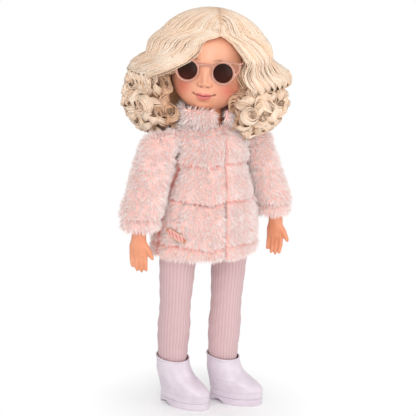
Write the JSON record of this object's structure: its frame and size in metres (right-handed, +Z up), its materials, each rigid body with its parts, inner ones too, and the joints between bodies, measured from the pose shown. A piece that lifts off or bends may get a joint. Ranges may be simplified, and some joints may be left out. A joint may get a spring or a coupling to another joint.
{
  "type": "dressed fashion doll",
  "caption": "Standing dressed play doll with turning head, arms and legs, sleep eyes, wavy hair, fur jacket, knit tights, ankle boots and round sunglasses.",
  "frame": {"origin": "On the floor, midway between the two hips and under the axis on which the head turns.", "axes": "+Z up along the doll's height. The chest faces -Y. +X is the doll's own left. The head is turned 38 degrees towards its right as it is worn at rest."},
  "size_m": [0.215, 0.1478, 0.4651],
  "materials": {
    "skin_vinyl": "soft matt vinyl, warm skin tone, blushed cheeks and painted lips",
    "doll_cloth": "plain cotton cloth, stuffed",
    "fur": "short pale pink imitation fur with coral roots, quilted",
    "hair": "pale blonde rooted fibre in waves and ringlets",
    "tights": "fine ribbed and openwork knit, mauve pink",
    "boot_vinyl": "moulded lavender white vinyl, satin",
    "frame_plastic": "moulded beige pink plastic",
    "lens": "dark brown, nearly opaque, glossy",
    "eye": "glossy moulded eye",
    "weight_metal": "plain steel weight",
    "nylon": "natural nylon",
    "elastic": "covered elastic cord",
    "closure_tape": "woven hook and loop tape",
    "patch_cloth": "woven tab with coppery stitching"
  },
  "bodies": {
    "torso": {"torso_body": "doll_cloth", "shoulder_plate": "skin_vinyl", "neck_plug": "nylon", "arm_cord": "elastic", "arm_cord_disc_left": "nylon", "arm_cord_disc_right": "nylon", "leg_cord": "elastic", "leg_cord_disc_left": "nylon", "leg_cord_disc_right": "nylon", "tights_waist": "tights", "jacket_yoke": "fur", "jacket_waist_tier": "fur", "jacket_collar": "fur", "skirt_back": "fur", "hem_band_back": "fur", "skirt_side_left": "fur", "skirt_side_right": "fur", "hem_band_side_left": "fur", "hem_band_side_right": "fur", "placket_upper": "fur", "closure_hook_tape": "closure_tape", "closure_loop_tape": "closure_tape"},
    "head": {"head_shell": "skin_vinyl", "sunglasses_frame": "frame_plastic", "lens_left": "lens", "lens_right": "lens", "hair_crown": "hair", "hair_left": "hair", "hair_right": "hair", "hair_back": "hair"},
    "right_eye": {"eye_right": "eye", "eye_weight_right": "weight_metal"},
    "left_eye": {"eye_left": "eye", "eye_weight_left": "weight_metal"},
    "right_arm": {"arm_right": "skin_vinyl", "sleeve_right": "fur", "cuff_right": "fur"},
    "left_arm": {"arm_left": "skin_vinyl", "sleeve_left": "fur", "cuff_left": "fur"},
    "right_leg": {"leg_right": "skin_vinyl", "tights_leg_right": "tights", "boot_right": "boot_vinyl", "boot_sole_right": "boot_vinyl"},
    "left_leg": {"leg_left": "skin_vinyl", "tights_leg_left": "tights", "boot_left": "boot_vinyl", "boot_sole_left": "boot_vinyl"},
    "right_flap": {"skirt_front_right": "fur", "hem_band_front_right": "fur", "jacket_patch": "patch_cloth"},
    "left_flap": {"skirt_front_left": "fur", "hem_band_front_left": "fur", "placket_lower": "fur"}
  },
  "joints": [
    {"name": "head_turn", "type": "hinge", "parent": "torso", "child": "head", "pos_m": [0, 0, 0.3666], "axis": [0, 0, 1], "range_deg": [-52, 128]},
    {"name": "right_shoulder", "type": "hinge", "parent": "torso", "child": "right_arm", "pos_m": [-0.0501, 0, 0.308], "axis": [-1, 0, 0], "range_deg": [-30, 90]},
    {"name": "left_shoulder", "type": "hinge", "parent": "torso", "child": "left_arm", "pos_m": [0.0501, 0, 0.308], "axis": [-1, 0, 0], "range_deg": [-30, 90]},
    {"name": "right_hip", "type": "hinge", "parent": "torso", "child": "right_leg", "pos_m": [-0.0344, 0, 0.21], "axis": [-1, 0, 0], "range_deg": [-10, 90], "deforming": ["skirt_side_right", "hem_band_side_right"]},
    {"name": "left_hip", "type": "hinge", "parent": "torso", "child": "left_leg", "pos_m": [0.0344, 0, 0.21], "axis": [-1, 0, 0], "range_deg": [-10, 90], "deforming": ["skirt_side_left", "hem_band_side_left"]},
    {"name": "right_flap_lift", "type": "hinge", "parent": "torso", "child": "right_flap", "pos_m": [0, -0.04855, 0.2532], "axis": [-1, 0, 0], "range_deg": [-10, 90]},
    {"name": "left_flap_lift", "type": "hinge", "parent": "torso", "child": "left_flap", "pos_m": [0, -0.04855, 0.2532], "axis": [-1, 0, 0], "range_deg": [-10, 90]},
    {"name": "right_eye_close", "type": "hinge", "parent": "head", "child": "right_eye", "pos_m": [-0.02629, -0.01017, 0.40055], "axis": [0.7865, -0.6145, -0.061], "range_deg": [0, 50]},
    {"name": "left_eye_close", "type": "hinge", "parent": "head", "child": "left_eye", "pos_m": [-0.00033, -0.03045, 0.39853], "axis": [0.7865, -0.6145, -0.061], "range_deg": [0, 50]}
  ],
  "couplings": [
    {"joint": "right_flap_lift", "follows": "right_hip", "ratio": 1},
    {"joint": "left_flap_lift", "follows": "left_hip", "ratio": 1}
  ]
}
